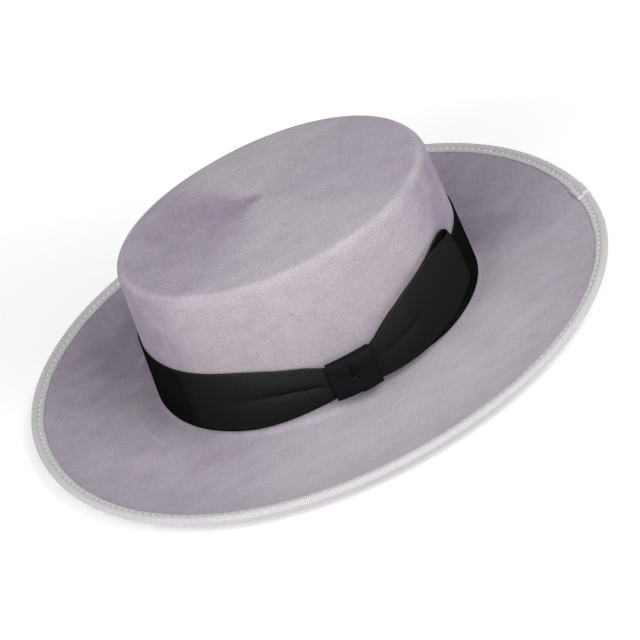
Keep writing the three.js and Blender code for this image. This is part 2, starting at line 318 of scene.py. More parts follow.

# %% [markdown]
# ## Felt
#
# The body is rabbit-fur felt, finished with fine sandpaper and brushed, so it has a short soft nap.
# It is quite matt, and its fibres catch light at grazing angles, which is what sheen is for. Close
# up, the dye has taken unevenly, fibre by fibre, so the lilac-grey is mottled with pinker and bluer
# spots, and the strokes of the brush leave faint streaks along the hat. The nap is brushed round the
# crown's top in a swirl, and the way it catches the light is painted into the colour as shade: two
# opposite fans of it that lie away from the light are painted darker, and they meet in a small dark
# spot where the swirl is pinched. Darker fans are painted as well where the wall turns away from the
# lamps at its front and back, and where the crown shades the brim, and the middle of the wall is
# tinted a little pinker. A thin paler ring on the brim is where the hat was pressed in its stand, and
# a paler ring along the crown's rounded edge is a painted highlight. All of this could be painted by
# hand. Worked out from places and directions on the hat, it stays right when the hat is resized.

# %% Felt material
FELT_GREY_LILAC = "#b3acb3"
FELT_PINK = "#bcabb1"
FELT_BLUE = "#a6a9b6"
PAINTED_SHADE = "#8a7c92"
WALL_PINK = "#a5959b"
PINCH_SHADE = "#65505f"
PALE_MARK_AND_HIGHLIGHT = "#d3cacb"
SPECK_BROWN = "#5d4a3c"
NAP_GRAIN = 0.9 * MM  # one tuft of fibres; the fibres themselves are far too fine to show
DYE_PATCH = 1.7 * MM
DYE_UNEVENNESS = 0.55
BRUSH_STROKE = 9 * MM
PINCH_AT = (-11.5, -4.5, 94)
SPECKS = [
    (78.1, -37.2, 70),
    (16.6, -8.7, 94),
    (91.5, 0, 1.8),
    (37.5, -142.5, 2),
    (-3.1, -140.9, 1.8),
    (-122.9, -106.4, 6.4),
]
FELT_LOOK = {
    "Roughness": 0.95,
    "Specular IOR Level": 0.15,
    "Sheen Weight": 0.25,
    "Sheen Roughness": 0.5,
    "Sheen Tint": linear("#e6dde6"),
}

felt, tree, felt_shader = new_material("rabbit fur felt, brushed", FELT_LOOK)
place = add(tree, "ShaderNodeTexCoord").outputs["Object"]
nap_values = {"Vector": place, "Scale": 1 / NAP_GRAIN, "Detail": 3, "Roughness": 0.6}
dye_values = {"Vector": place, "Scale": 1 / DYE_PATCH, "Detail": 4, "Roughness": 0.65}
grain = add(tree, "ShaderNodeTexNoise", nap_values).outputs["Fac"]
dye = add(tree, "ShaderNodeTexNoise", dye_values).outputs["Fac"]
pinker = add(tree, "ShaderNodeMapRange", {0: dye, 1: 0.4, 2: 0.62})
hues = {0: pinker, 6: linear(FELT_BLUE), 7: linear(FELT_PINK)}
hue = add(tree, "ShaderNodeMix", hues, data_type="RGBA").outputs[2]
dyed = {0: DYE_UNEVENNESS, 6: linear(FELT_GREY_LILAC), 7: hue}
even = add(tree, "ShaderNodeMix", dyed, data_type="RGBA").outputs[2]
speckle = add(tree, "ShaderNodeMapRange", {0: grain, 1: 0.3, 2: 0.7, 3: 0.83, 4: 1.17})
stretched = add(tree, "ShaderNodeVectorMath", {0: place, 1: (1, 0.4, 1)}, operation="MULTIPLY")
strokes = add(tree, "ShaderNodeTexNoise", {"Vector": stretched, "Scale": 1 / BRUSH_STROKE, "Detail": 5})
brushed = add(tree, "ShaderNodeMapRange", {0: strokes.outputs["Fac"], 1: 0.3, 2: 0.7, 3: 0.94, 4: 1.06})
shade = add(tree, "ShaderNodeMath", {0: speckle, 1: brushed}, operation="MULTIPLY")

# %% [markdown]
# The painted shade of the swirl is worked out from the place on the felt alone. On the flat top, the
# direction from the pinched spot is compared with each fan's direction. The wall and the brim have
# painted fans of their own, which spread from the middle of the hat: on the wall for its shade where
# it turns away from the lamps, and on the brim for the crown's shadow. The top, the wall and the brim
# are told apart by their height.

# %% Painted shade of the nap, the wall and the brim, in fans
TOP_FROM, TOP_FULL = 90.5, 93.8
BRIM_FULL, BRIM_TO = 9, 15
FAN_REACH = {"top": (0, 75), "wall": (0, 100), "brim": (105, 165)}  # where it is near and where far
# The dark fans are painted shade: on the top for the nap's swirl, on the wall where it turns from the
# lamps, on the brim where the crown shades it. The pink fan tints the middle of the wall.
# zone, azimuth, half its width where it ends and where it is full, strength near and far, tone
FANS = [
    ("top", -11, 80, 10, 0.7, 0.45, PAINTED_SHADE),
    ("top", 163, 56, 16, 0.1, 0.25, PAINTED_SHADE),
    ("wall", -20, 50, 26, 0.66, 0.66, PAINTED_SHADE),
    ("wall", 168, 50, 20, 0.66, 0.66, PAINTED_SHADE),
    ("wall", 70, 64, 38, 0.28, 0.28, WALL_PINK),
    ("brim", -68, 46, 8, 0.6, 0.6, PAINTED_SHADE),
    ("brim", -2, 62, 25, 0.36, 0.28, PAINTED_SHADE),
    ("brim", 187, 28, 6, 0.85, 0.15, PAINTED_SHADE),
    ("brim", 174, 48, 30, 0.1, 0.14, PAINTED_SHADE),
    ("brim", 212, 32, 8, 0.1, 0.3, PAINTED_SHADE),
]
WANDER = 14  # the ragged edges of the fans
ways = {"Vector": place, "Scale": 1 / (24 * MM), "Detail": 3}
wander = add(tree, "ShaderNodeTexNoise", ways).outputs["Color"]
wandered = add(tree, "ShaderNodeVectorMath", {0: wander, "Scale": WANDER * MM}, operation="SCALE")
moved = add(tree, "ShaderNodeVectorMath", {0: place, 1: wandered}, operation="ADD")
height = add(tree, "ShaderNodeSeparateXYZ", {0: place}).outputs["Z"]
on_top = add(tree, "ShaderNodeMapRange", {0: height, 1: TOP_FROM * MM, 2: TOP_FULL * MM})
on_brim = add(tree, "ShaderNodeMapRange", {0: height, 1: BRIM_FULL * MM, 2: BRIM_TO * MM, 3: 1, 4: 0})
off_top = add(tree, "ShaderNodeMath", {0: 1, 1: on_top}, operation="SUBTRACT")
between = add(tree, "ShaderNodeMath", {0: off_top, 1: on_brim}, operation="SUBTRACT")
zones = {"top": on_top, "wall": between, "brim": on_brim}
cloud_values = {"Vector": place, "Scale": 1 / (17 * MM), "Detail": 5, "Roughness": 0.6}
clouds = add(tree, "ShaderNodeTexNoise", cloud_values).outputs["Fac"]
cloudy = add(tree, "ShaderNodeMapRange", {0: clouds, 1: 0.3, 2: 0.7, 3: 0.65, 4: 1.35})
colour = even
for zone, azimuth, open_to, full_to, near, far, tone in FANS:
    middle = PINCH_AT if zone == "top" else (0, 0, 0)
    centre = [(value + WANDER / 2) * MM for value in middle]  # everything wanders by half of it
    from_centre = add(tree, "ShaderNodeVectorMath", {0: moved, 1: centre}, operation="SUBTRACT")
    level = add(tree, "ShaderNodeVectorMath", {0: from_centre, 1: (1, 1, 0)}, operation="MULTIPLY")
    towards = add(tree, "ShaderNodeVectorMath", {0: level}, operation="NORMALIZE")
    distance = add(tree, "ShaderNodeVectorMath", {0: level}, operation="LENGTH").outputs["Value"]
    compared = {0: towards, 1: look_from(azimuth, 0)}
    facing = add(tree, "ShaderNodeVectorMath", compared, operation="DOT_PRODUCT").outputs["Value"]
    ends, full = (math.cos(math.radians(half)) for half in (open_to, full_to))
    opening = {0: facing, 1: ends, 2: full}
    inside = add(tree, "ShaderNodeMapRange", opening, interpolation_type="SMOOTHSTEP")
    start, end = FAN_REACH[zone]
    fading = add(tree, "ShaderNodeMapRange", {0: distance, 1: start * MM, 2: end * MM, 3: near, 4: far})
    begun = add(tree, "ShaderNodeMapRange", {0: distance, 1: 1 * MM, 2: 11 * MM, 3: 0.2, 4: 1})
    amount = inside
    for part in (zones[zone], fading, begun, cloudy):
        amount = add(tree, "ShaderNodeMath", {0: amount, 1: part}, operation="MULTIPLY")
    tones = {0: amount, 6: colour, 7: linear(tone)}
    colour = add(tree, "ShaderNodeMix", tones, data_type="RGBA").outputs[2]

# %% Pinched spot of painted shade, pale rings with a painted highlight, and specks
RAGGED = 6  # the ragged edge of the pinched spot
# The ring on the brim is a pressed mark; the ring along the crown's rounded edge is a painted highlight.
# half length of the ring, half its width, size of its patches, where they begin and are full, strength
PALE_RINGS = [
    (124, 1.6, 30, 0.48, 0.66, 0.4),
    (95.5, 3.0, 19, 0.25, 0.6, 0.3),
]
crush_values = {"Vector": place, "Scale": 1 / (5 * MM), "Detail": 3}
crushed = add(tree, "ShaderNodeTexNoise", crush_values).outputs["Color"]
crumpled = add(tree, "ShaderNodeVectorMath", {0: crushed, "Scale": RAGGED * MM}, operation="SCALE")
ragged = add(tree, "ShaderNodeVectorMath", {0: place, 1: crumpled}, operation="ADD")
pinch = [(value + RAGGED / 2) * MM for value in PINCH_AT]
from_spot = add(tree, "ShaderNodeVectorMath", {0: ragged, 1: pinch}, operation="DISTANCE").outputs["Value"]
# The pinched spot is painted shade, where the dark fans of the top meet.
spot = add(tree, "ShaderNodeMapRange", {0: from_spot, 1: 1 * MM, 2: 7 * MM, 3: 0.5, 4: 0})
tones = {0: spot, 6: colour, 7: linear(PINCH_SHADE)}
colour = add(tree, "ShaderNodeMix", tones, data_type="RGBA").outputs[2]
for half_length, half_band, patches, low, high, strength in PALE_RINGS:
    half_width = half_length - LENGTH_OVER_WIDTH / 2
    share = (1 / (half_width * MM), 1 / (half_length * MM), 0)
    unit = add(tree, "ShaderNodeVectorMath", {0: place, 1: share}, operation="MULTIPLY")
    radius = add(tree, "ShaderNodeVectorMath", {0: unit}, operation="LENGTH").outputs["Value"]
    off_ring = add(tree, "ShaderNodeMath", {0: radius, 1: 1}, operation="SUBTRACT")
    away = add(tree, "ShaderNodeMath", {0: off_ring}, operation="ABSOLUTE")
    ring = add(tree, "ShaderNodeMapRange", {0: away, 2: half_band / half_length, 3: 1, 4: 0})
    patch_values = {"Vector": place, "Scale": 1 / (patches * MM), "Detail": 3}
    broken = add(tree, "ShaderNodeTexNoise", patch_values).outputs["Fac"]
    showing = add(tree, "ShaderNodeMapRange", {0: broken, 1: low, 2: high, 3: 0, 4: strength})
    pale = add(tree, "ShaderNodeMath", {0: ring, 1: showing}, operation="MULTIPLY")
    tones = {0: pale, 6: colour, 7: linear(PALE_MARK_AND_HIGHLIGHT)}
    colour = add(tree, "ShaderNodeMix", tones, data_type="RGBA").outputs[2]
for speck in SPECKS:
    compared = {0: place, 1: [value * MM for value in speck]}
    from_speck = add(tree, "ShaderNodeVectorMath", compared, operation="DISTANCE").outputs["Value"]
    dot = add(tree, "ShaderNodeMapRange", {0: from_speck, 1: 0.3 * MM, 2: 0.8 * MM, 3: 0.55, 4: 0})
    tones = {0: dot, 6: colour, 7: linear(SPECK_BROWN)}
    colour = add(tree, "ShaderNodeMix", tones, data_type="RGBA").outputs[2]
mottled = add(tree, "ShaderNodeVectorMath", {0: colour, "Scale": shade}, operation="SCALE")
tree.links.new(mottled.outputs[0], felt_shader.inputs["Base Color"])
nap = add(tree, "ShaderNodeBump", {"Height": grain, "Strength": 0.25, "Distance": 0.3 * MM})
tree.links.new(nap.outputs[0], felt_shader.inputs["Normal"])

# %% [markdown]
# ## The felt body
#
# A hat turned on a block follows one rule: a single section, carried round the oval. That is work for
# Geometry Nodes. The section is a line of points that hold half length, half width and height, and
# the tree makes a grid with a row for each of them and a column for each step round the hat, then
# puts every grid point in its place. Where the rows start and end on the axis, and where the last
# column meets the first, merging closes the mesh.


# %% Section of the felt, from the inside of the top round the brim to the outside of the top
def felt_section():
    """Half length, half width and height of the felt's section, in millimetres."""
    edge_foot = CROWN_HEIGHT - CROWN_EDGE_RADIUS
    edge_centre = (crown_half_length(edge_foot) - CROWN_EDGE_RADIUS, edge_foot)
    break_centre = (CROWN_LENGTH / 2 + BREAK_RADIUS, FOOT_HEIGHT)
    curl = np.linspace(0, CURL_END, 50)[1:-1]
    curl = curl[curl > BREAK_RADIUS + 1]
    inner_radius = CROWN_EDGE_RADIUS - FELT_WALL
    rim = brim_point(CURL_END, 0)
    inside = np.vstack(
        [
            arc(edge_centre, inner_radius, 90, WALL_LEAN, 8),
            arc(break_centre, FOOT_HEIGHT, 180, 270, 8),
            brim_point(curl, -FELT_WALL / 2),
        ]
    )
    outside = np.vstack(
        [
            brim_point(curl[::-1], FELT_WALL / 2),
            arc(break_centre, BREAK_RADIUS, 270, 180 - WALL_LEAN, 8),
            arc(edge_centre, CROWN_EDGE_RADIUS, WALL_LEAN, 90, 10),
        ]
    )
    edge = arc(rim, FELT_WALL / 2, EDGE_SLOPE - 90, EDGE_SLOPE + 90, 8)
    ring = np.vstack([inside, edge, outside])
    ring = np.stack([ring[:, 0], ring[:, 0] - LENGTH_OVER_WIDTH / 2, ring[:, 1]], axis=-1)
    shares = np.linspace(0, 1, 9)[:-1, None]
    disc = np.array([1, 1, 0])
    under_top = ring[0] * disc * shares + [0, 0, ring[0, 2]]
    over_top = ring[-1] * disc * shares[::-1] + [0, 0, ring[-1, 2]]
    return np.vstack([under_top, ring, over_top])


section = felt_section()
section_mesh = bpy.data.meshes.new("felt section")
section_mesh.from_pydata(section * MM, [(i, i + 1) for i in range(len(section) - 1)], [])
felt_draft = show("felt_draft", section_mesh)
print(f"section of {len(section)} points")

# %% Geometry Nodes tree that carries a section round an oval
def geometry_tree(name, inputs, output):
    """A Geometry Nodes tree with inputs by name and kind, and the sockets that they come in by."""
    tree = bpy.data.node_groups.new(name, "GeometryNodeTree")
    for socket, kind in inputs.items():
        tree.interface.new_socket(socket, in_out="INPUT", socket_type="NodeSocket" + kind)
    tree.interface.new_socket(output, in_out="OUTPUT", socket_type="NodeSocketGeometry")
    return tree, add(tree, "NodeGroupInput").outputs


carry_inputs = {"Section": "Geometry", "Steps Round": "Int", "Fullness": "Float", "Finish": "Material"}
carry, given = geometry_tree("carry round an oval", carry_inputs, "Body")
rows = add(carry, "GeometryNodeAttributeDomainSize", {"Geometry": given["Section"]}).outputs["Point Count"]
columns = add(carry, "ShaderNodeMath", {0: given["Steps Round"], 1: 1}, operation="ADD")
grid = add(carry, "GeometryNodeMeshGrid", {"Vertices X": columns, "Vertices Y": rows})
index = add(carry, "GeometryNodeInputIndex")
divided = add(carry, "ShaderNodeMath", {0: index, 1: rows}, operation="DIVIDE")
column = add(carry, "ShaderNodeMath", {0: divided}, operation="FLOOR")
row = add(carry, "ShaderNodeMath", {0: index, 1: rows}, operation="MODULO")
where = add(carry, "GeometryNodeInputPosition")
sampled = {"Geometry": given["Section"], "Value": where, "Index": row}
measure = add(carry, "GeometryNodeSampleIndex", sampled, data_type="FLOAT_VECTOR")
parts = add(carry, "ShaderNodeSeparateXYZ", {0: measure})
turn = add(carry, "ShaderNodeMath", {0: column, 1: given["Steps Round"]}, operation="DIVIDE")
angle = add(carry, "ShaderNodeMath", {0: turn, 1: 2 * math.pi}, operation="MULTIPLY")
power = add(carry, "ShaderNodeMath", {0: 2, 1: given["Fullness"]}, operation="DIVIDE")
coordinates = {}
for wave, measured, axis_sign in [("SINE", "Y", 1), ("COSINE", "X", -1)]:
    swing = add(carry, "ShaderNodeMath", {0: angle}, operation=wave)
    side = add(carry, "ShaderNodeMath", {0: swing}, operation="SIGN")
    size = add(carry, "ShaderNodeMath", {0: swing}, operation="ABSOLUTE")
    pushed = add(carry, "ShaderNodeMath", {0: size, 1: power}, operation="POWER")
    signed = add(carry, "ShaderNodeMath", {0: pushed, 1: side}, operation="MULTIPLY")
    facing = add(carry, "ShaderNodeMath", {0: signed, 1: axis_sign}, operation="MULTIPLY")
    reach = add(carry, "ShaderNodeMath", {0: facing, 1: parts.outputs[measured]}, operation="MULTIPLY")
    coordinates[wave] = reach
reached = {"X": coordinates["SINE"], "Y": coordinates["COSINE"], "Z": parts.outputs["Z"]}
target = add(carry, "ShaderNodeCombineXYZ", reached)
placed = add(carry, "GeometryNodeSetPosition", {"Geometry": grid, "Position": target})
closed = add(carry, "GeometryNodeMergeByDistance", {"Geometry": placed, "Distance": 0.002 * MM})
real = add(carry, "GeometryNodeRealizeInstances", {"Geometry": closed})
finished = add(carry, "GeometryNodeSetMaterial", {"Geometry": real, "Material": given["Finish"]})
add(carry, "NodeGroupOutput", {"Body": finished})

# %% [markdown]
# A modifier runs the tree on the section. Its inputs are set by the sockets' identifiers, and the
# evaluated result is then taken as a plain mesh, so that nothing is left to be worked out later.


# %% Run the tree
def run_tree(draft, tree, values):
    """The plain mesh that a node tree makes of a draft object, which is then removed."""
    modifier = draft.modifiers.new(tree.name, "NODES")
    modifier.node_group = tree
    sockets = {item.name: item.identifier for item in tree.interface.items_tree if item.in_out == "INPUT"}
    for name, value in values.items():
        modifier[sockets[name]] = value
    bpy.context.view_layer.update()
    evaluated = draft.evaluated_get(bpy.context.evaluated_depsgraph_get())
    mesh = bpy.data.meshes.new_from_object(evaluated)
    bpy.data.objects.remove(draft)
    return mesh


def volume(mesh):
    """The volume inside a closed mesh, in cubic millimetres: below zero where its faces point inwards."""
    mesh.calc_loop_triangles()
    points = np.zeros(len(mesh.vertices) * 3)
    mesh.vertices.foreach_get("co", points)
    triangles = np.zeros(len(mesh.loop_triangles) * 3, int)
    mesh.loop_triangles.foreach_get("vertices", triangles)
    a, b, c = (points.reshape(-1, 3) / MM)[triangles.reshape(-1, 3)].transpose(1, 0, 2)
    return float((a * np.cross(b, c)).sum() / 6)


STEPS_ROUND = 360
body_values = {"Steps Round": STEPS_ROUND, "Fullness": OVAL_FULLNESS, "Finish": felt}
body_mesh = run_tree(felt_draft, carry, body_values)
if volume(body_mesh) < 0:
    body_mesh.flip_normals()
felt_body = show("blocked_felt", body_mesh, felt)
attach(felt_body, "root")
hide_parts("felt_body")
print(f"felt of {volume(body_mesh) / 1000:.0f} cubic centimetres, {len(body_mesh.polygons)} faces")

# %% [markdown]
# ## Grosgrain ribbon
#
# All three ribbons are grosgrain: a thick weft under a fine warp makes ribs that run straight across
# the ribbon. It is woven of rayon or polyester, soft to the light, with a slight silky sheen along the
# ribs. The pattern follows each ribbon, so it is drawn in the ribbon's own UV map, which holds
# millimetres along the ribbon and across it. The ribs are drawn at their real pitch, or a little
# coarser where they would be too fine to show. From the side, each rib stands before the shiny flank
# of the next, so the gloss fades there. Ribs could be real geometry, but they are only a tenth of a
# millimetre high, and the edges and folds of the ribbon are what the eye measures.

# %% Grosgrain material
# Each ribbon's crown tone is painted light on the tops of its ribs, and its valley tone painted shade
# between them.
WHITE_RIBS = {"crown": "#e1dee0", "valley": "#b4b2b5", "pitch": 1.15, "height": 0.08, "mottle": 0.05}
BLACK_RIBS = {"crown": "#1f201f", "valley": "#050505", "pitch": 1.25, "height": 0.07, "mottle": 0.3}
FINE_RIBS = {"crown": "#19191e", "valley": "#020203", "pitch": 0.95, "height": 0.12, "mottle": 0.25}


def grosgrain(name, ribs, roughness, sheen, gloss, hidden_from, hidden_at):
    """Ribbon with ribs across it. Seen from the side, its gloss fades between the two given shares."""
    look = {"Roughness": roughness, "Sheen Weight": sheen, "Sheen Roughness": 0.4}
    made, tree, shader = new_material(name, look)
    ribbon = add(tree, "ShaderNodeUVMap", uv_map="ribbon")
    at = add(tree, "ShaderNodeSeparateXYZ", {0: ribbon})
    stretched = add(tree, "ShaderNodeVectorMath", {0: ribbon, 1: (0.9, 0.12, 0)}, operation="MULTIPLY")
    slub = add(tree, "ShaderNodeTexNoise", {"Vector": stretched, "Scale": 1, "Detail": 3})
    astray = 0.15 * ribs["pitch"]
    wobble = add(tree, "ShaderNodeMapRange", {0: slub.outputs["Fac"], 3: -astray, 4: astray})
    along = add(tree, "ShaderNodeMath", {0: at.outputs["X"], 1: wobble}, operation="ADD")
    turns = add(tree, "ShaderNodeMath", {0: along, 1: 2 * math.pi / ribs["pitch"]}, operation="MULTIPLY")
    swing = add(tree, "ShaderNodeMath", {0: turns}, operation="SINE")
    rib = add(tree, "ShaderNodeMapRange", {0: swing, 1: -1, 2: 1})
    fibre_look = {"Vector": ribbon, "Scale": 1.6, "Detail": 4, "Roughness": 0.7}
    fibre = add(tree, "ShaderNodeTexNoise", fibre_look).outputs["Fac"]
    spread = add(
        tree,
        "ShaderNodeMapRange",
        {0: fibre, 1: 0.3, 2: 0.7, 3: 1 - ribs["mottle"], 4: 1 + ribs["mottle"]},
    )
    # The ribs' painted light and shade: lighter on the crowns, darker in the valleys.
    tones = {0: rib, 6: linear(ribs["valley"]), 7: linear(ribs["crown"])}
    woven = add(tree, "ShaderNodeMix", tones, data_type="RGBA").outputs[2]
    uneven = add(tree, "ShaderNodeVectorMath", {0: woven, "Scale": spread}, operation="SCALE")
    tree.links.new(uneven.outputs[0], shader.inputs["Base Color"])
    both = add(tree, "ShaderNodeMath", {0: fibre, 1: 0.4}, operation="MULTIPLY")
    relief = add(tree, "ShaderNodeMath", {0: rib, 1: both}, operation="ADD")
    bump = add(tree, "ShaderNodeBump", {"Height": relief, "Strength": 1, "Distance": ribs["height"] * MM})
    tree.links.new(bump.outputs[0], shader.inputs["Normal"])
    facing = add(tree, "ShaderNodeLayerWeight", {"Blend": 0.5}).outputs["Facing"]
    seen = add(tree, "ShaderNodeMapRange", {0: facing, 1: hidden_from, 2: hidden_at, 3: gloss, 4: 0})
    tree.links.new(seen.outputs[0], shader.inputs["Specular IOR Level"])
    return made


# The drawn band hides its gloss early. The loop lies loose, and keeps it nearly to its edge.
white_grosgrain = grosgrain("white rayon grosgrain", WHITE_RIBS, 0.7, 0.2, 0.12, 0.2, 0.58)
black_grosgrain = grosgrain("black rayon grosgrain", BLACK_RIBS, 0.5, 0.0, 0.24, 0.1, 0.52)
loose_grosgrain = grosgrain("loose black grosgrain", BLACK_RIBS, 0.5, 0.0, 0.2, 0.08, 0.7)
fine_grosgrain = grosgrain("fine black grosgrain", FINE_RIBS, 0.5, 0.0, 0.12, 0.2, 0.58)


# %% Ribbon meshes from rows of points
def ribbon_mesh(name, sections, uv, closed):
    """A mesh through sections, each a closed loop of as many points, in millimetres.

    The loops are joined end to end, or capped. uv holds each point's place on the ribbon, and
    one more row and column than the points where a seam has to carry both of its values.
    """
    sections = np.asarray(sections)
    stations, around = sections.shape[:2]
    quads, corners = [], []
    for i in range(stations if closed else stations - 1):
        following = (i + 1) % stations
        for j in range(around):
            beside = (j + 1) % around
            here, there = i * around, following * around
            quads.append((here + j, there + j, there + beside, here + beside))
            corners.extend([uv[i, j], uv[i + 1, j], uv[i + 1, j + 1], uv[i, j + 1]])
    if not closed:
        half = around // 2
        for station, turned in [(0, False), (stations - 1, True)]:
            for j in range(half - 1):
                far = around - 1 - j
                cap = [j, j + 1, far - 1, far]
                cap = cap[::-1] if turned else cap
                quads.append(tuple(station * around + k for k in cap))
                corners.extend(uv[station, k] for k in cap)
    mesh = bpy.data.meshes.new(name)
    mesh.from_pydata(sections.reshape(-1, 3) * MM, [], quads)
    layer = mesh.uv_layers.new(name="ribbon")
    layer.data.foreach_set("uv", np.asarray(corners, np.float32).ravel())
    if volume(mesh) < 0:
        mesh.flip_normals()
    mesh.validate()
    return mesh


def flat_uv(lengths, widths):
    """The UV map of a two-faced ribbon: millimetres along it, and across it out on one face and back."""
    there_and_back = np.concatenate([widths, widths[::-1], widths[:1]])
    return np.stack(np.meshgrid(lengths, there_and_back, indexing="ij"), axis=-1)


# %% [markdown]
# ## The binding of the brim
#
# The edge is bound with a white ribbon, folded lengthwise over the felt and held by one row of
# stitches. The thread pulls the ribbon down into a shallow groove, so that a narrow lip stands up
# inside it and a fuller roll outside it, and between two stitches the ribbon stands a little fuller.
# The ends meet at the back, where one end is turned under and laid over the other. The section is
# drawn once and carried round the edge, a little uneven as hand-guided sewing is. A curve with a
# bevel would be quicker, but it keeps one section all the way, with no stitches and no lap.

# %% Binding
BINDING_WALL = 0.45
BINDING_WIDTH = 7.2
BINDING_GROOVE = 2.9
BINDING_REACH = 2.2  # from the middle of the felt's edge to the outside of the roll
LAP_ANGLE = 166.3
LAP_LENGTH = 14
LAP_RISE = 0.5
LAP_SHIFT = 1.0
FOLD_RISE = 0.35
STITCH_PITCH = 5.1
PUCKER = 0.22  # how much fuller the ribbon stands between two stitches

arm_start = CURL_END + BINDING_REACH - BINDING_WIDTH
groove_at = arm_start + BINDING_GROOVE


def half_wall(from_lip):
    """Half the ribbon's thickness, which is less at its woven edges."""
    return BINDING_WALL / 2 * (0.5 + 0.5 * np.clip(from_lip / 1.2, 0, 1))


def binding_rise(out):
    """How far the ribbon's middle lies above the felt's middle on the flat arms of the binding."""
    off_edge = np.clip((out - arm_start) / 0.6, 0, 1)
    lip = 0.22 * hump(out, arm_start + 0.8, 0.7)
    roll_share = np.clip((out - groove_at) / (CURL_END - groove_at), 0, 1)
    roll = 0.6 * np.sin(roll_share * math.pi / 2)
    groove = 0.16 * hump(out, groove_at, 0.45)
    return FELT_WALL / 2 + half_wall(out - arm_start) + 0.03 + off_edge * (0.17 + lip) + roll - groove


def binding_section():
    """The middle line of the folded ribbon, from its lip under the brim to its lip on top."""
    arm = np.linspace(arm_start, CURL_END, 19)[:-1]
    rise = binding_rise(arm)
    rim = brim_point(CURL_END, 0)
    edge_radius = float(binding_rise(np.array(CURL_END)))
    edge = arc(rim, edge_radius, EDGE_SLOPE - 90, EDGE_SLOPE + 90, 12)
    return np.vstack([brim_point(arm, -rise), edge, brim_point(arm[::-1], rise[::-1])])


middle_line = binding_section()
heading = np.gradient(middle_line, axis=0)
heading /= np.linalg.norm(heading, axis=1, keepdims=True)
outward = np.stack([heading[:, 1], -heading[:, 0]], axis=-1)
across = lengths_along(middle_line)
fine_turn = np.linspace(0, 2 * math.pi, 3601)
edge_arc = lengths_along(oval(CROWN_LENGTH / 2 + CURL_END, fine_turn, 0))
edge_girth = edge_arc[-1]
stitch_count = round(edge_girth / STITCH_PITCH)


def edge_angle(length):
    """The angle round the hat at an arc length along the felt's edge."""
    return np.interp(length, edge_arc, fine_turn)


lap_middle = np.interp(math.radians(LAP_ANGLE), fine_turn, edge_arc)
lap_ends = [lap_middle - LAP_LENGTH / 2, lap_middle + LAP_LENGTH / 2]
binding_stations = np.arange(0, edge_girth, edge_girth / stitch_count / 4)
binding_stations = [s for s in binding_stations if all(abs(s - end) > 0.9 for end in lap_ends)]
binding_stations += [end + step for end in lap_ends for step in (-0.7, -0.2, 0.2, 0.7)]
binding_stations = np.array(sorted(binding_stations))
loops = []
from_lip = np.minimum(across, across[-1] - across)[:, None]
section_half = half_wall(from_lip)
off_lip = np.clip((from_lip - 0.8) / 1.5, 0, 1)
lip_share = np.clip(1 - across / 3, 0, 1) + np.clip(1 - (across[-1] - across) / 3, 0, 1)
for station in binding_stations:
    on_lap = lap_ends[0] < station < lap_ends[1]
    lap_share = (station - lap_ends[0]) / LAP_LENGTH
    raised = LAP_RISE + FOLD_RISE * hump(lap_share, 0.09, 0.08) if on_lap else 0
    uneven = 0.09 * math.sin(station / 9.7) + 0.07 * math.sin(station / 4.3 + 2)
    uneven += 0.05 * math.sin(station / 2.3)
    between = (1 - math.cos(2 * math.pi * stitch_count * station / edge_girth)) / 2
    outer = middle_line + outward * (section_half + raised + PUCKER * between * off_lip)
    inner = middle_line - outward * section_half
    laid_further_in = LAP_SHIFT * lap_share if on_lap else 0
    shift = np.outer(lip_share, (uneven - laid_further_in, 0))
    loop = np.vstack([outer + shift, (inner + shift)[::-1]])
    loops.append(oval(loop[:, 0], float(edge_angle(station)), loop[:, 1]))
along_edge = np.append(binding_stations, edge_girth + binding_stations[0])
binding_mesh = ribbon_mesh("edge_binding", loops, flat_uv(along_edge, across), closed=True)
binding = show("edge_binding", binding_mesh, white_grosgrain)
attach(binding, "root")
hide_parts("brim_binding")
print(f"binding ribbon {across[-1]:.1f} mm wide and {edge_girth + LAP_LENGTH:.0f} mm long")

# %% [markdown]
# The end of the ribbon was turned under and pressed before it was sewn, and its fold catches the
# light as one pale line across the lap. That line is a painted highlight: the binding's UV map says
# how far along the ribbon a place is, so the highlight is mixed into the ribbon's colour there.

# %% Painted highlight on the fold of the lap
FOLD_HIGHLIGHT = "#fdfafc"
FOLD_WIDTH = 2.2
FOLD_STRENGTH = 0.5
FOLD_BLUR = 0.3
tree = white_grosgrain.node_tree
ribbon_shader = tree.nodes["Principled BSDF"]
ribbon_place = add(tree, "ShaderNodeUVMap", uv_map="ribbon")
ribbon_along = add(tree, "ShaderNodeSeparateXYZ", {0: ribbon_place}).outputs["X"]
fold_middle = lap_ends[0] + FOLD_WIDTH / 2
from_fold = add(tree, "ShaderNodeMath", {0: ribbon_along, 1: fold_middle}, operation="SUBTRACT")
off_fold = add(tree, "ShaderNodeMath", {0: from_fold}, operation="ABSOLUTE")
on_fold_highlight = add(
    tree,
    "ShaderNodeMapRange",
    {0: off_fold, 1: FOLD_WIDTH / 2 - FOLD_BLUR, 2: FOLD_WIDTH / 2 + FOLD_BLUR, 3: FOLD_STRENGTH, 4: 0},
)
woven = ribbon_shader.inputs["Base Color"].links[0].from_socket
# The pale line is a painted highlight of the fold.
fold_highlight = add(tree, "ShaderNodeMix", {0: on_fold_highlight, 6: woven, 7: linear(FOLD_HIGHLIGHT)}, data_type="RGBA")
tree.links.new(fold_highlight.outputs[2], ribbon_shader.inputs["Base Color"])

# %% [markdown]
# ## Stitches of the binding
#
# A stitch repeats some two hundred times round the edge, so Geometry Nodes lay them: a line is drawn
# in the groove, points are set along it at the stitch pitch, and a short thread lies at each of them,
# turned along the line and slightly uneven. The same tree sews the upper and the lower side. Between
# two threads the ribbon dips, and the shade in that dip is painted with a flat dark bead, so the tree
# is run again half a pitch further on to lay them. Setting each stitch by hand would take a list of
# places, which is wrong as soon as the brim changes.

